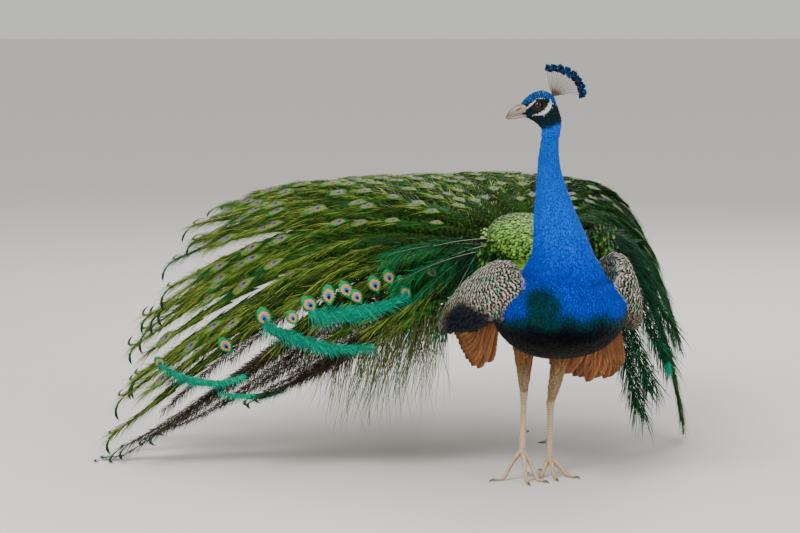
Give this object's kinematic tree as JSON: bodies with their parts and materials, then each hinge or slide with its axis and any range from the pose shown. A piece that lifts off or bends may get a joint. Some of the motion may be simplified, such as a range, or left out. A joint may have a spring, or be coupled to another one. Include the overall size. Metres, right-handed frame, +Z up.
{
  "type": "peacock",
  "caption": "Life-size museum model of an Indian peacock standing on two feet, head turned to its right, with its long train half raised and swept to one side",
  "frame": {"origin": "On the floor, under the middle of the whole model's box; the soles and the lowest feather tips lie on the floor plane", "axes": "+Z is up; the bird looks along -Y with its trunk turned 15 degrees towards +X; +X is the bird's left, and its head points to -X"},
  "size_m": [1.2926, 1.3502, 0.8306],
  "materials": {
    "body_plumage": "satin",
    "neck_plumage": "satin",
    "face_skin": "matte",
    "bill_horn": "satin",
    "eye_glass": "gloss",
    "crest_feathers": "satin",
    "wing_coverts": "matte",
    "dark_quills": "satin",
    "rufous_quills": "matte",
    "leg_feathers": "matte",
    "leg_scales": "satin",
    "claw_horn": "satin",
    "back_feathers": "satin",
    "train_feathers": "satin",
    "tail_quills": "matte"
  },
  "bodies": {
    "root": {"trunk": "body_plumage", "neck": "neck_plumage", "head": "face_skin", "bill_upper": "bill_horn", "bill_lower": "bill_horn", "eye_right": "eye_glass", "eye_left": "eye_glass", "crest": "crest_feathers", "wing_right": "wing_coverts", "wing_left": "wing_coverts", "train_base": "back_feathers", "tail": "tail_quills", "secondaries_right": "dark_quills", "primaries_right": "rufous_quills", "thigh_right": "leg_feathers", "tarsus_right": "leg_scales", "foot_right": "leg_scales", "spur_right": "claw_horn", "claw_right_inner": "claw_horn", "claw_right_middle": "claw_horn", "claw_right_outer": "claw_horn", "claw_right_hind": "claw_horn", "secondaries_left": "dark_quills", "primaries_left": "rufous_quills", "thigh_left": "leg_feathers", "tarsus_left": "leg_scales", "foot_left": "leg_scales", "spur_left": "claw_horn", "claw_left_inner": "claw_horn", "claw_left_middle": "claw_horn", "claw_left_outer": "claw_horn", "claw_left_hind": "claw_horn", "train_feather_01": "train_feathers", "train_feather_02": "train_feathers", "train_feather_03": "train_feathers", "train_feather_04": "train_feathers", "train_feather_05": "train_feathers", "train_feather_06": "train_feathers", "train_feather_07": "train_feathers", "train_feather_08": "train_feathers", "train_feather_09": "train_feathers", "train_feather_10": "train_feathers", "train_feather_11": "train_feathers", "train_feather_12": "train_feathers", "train_feather_13": "train_feathers", "train_feather_14": "train_feathers", "train_feather_15": "train_feathers", "train_feather_16": "train_feathers", "train_feather_17": "train_feathers", "train_feather_18": "train_feathers", "train_feather_19": "train_feathers", "train_feather_20": "train_feathers", "train_feather_21": "train_feathers", "train_feather_22": "train_feathers", "train_feather_23": "train_feathers", "train_feather_24": "train_feathers", "train_feather_25": "train_feathers", "train_feather_26": "train_feathers"}
  },
  "joints": []
}
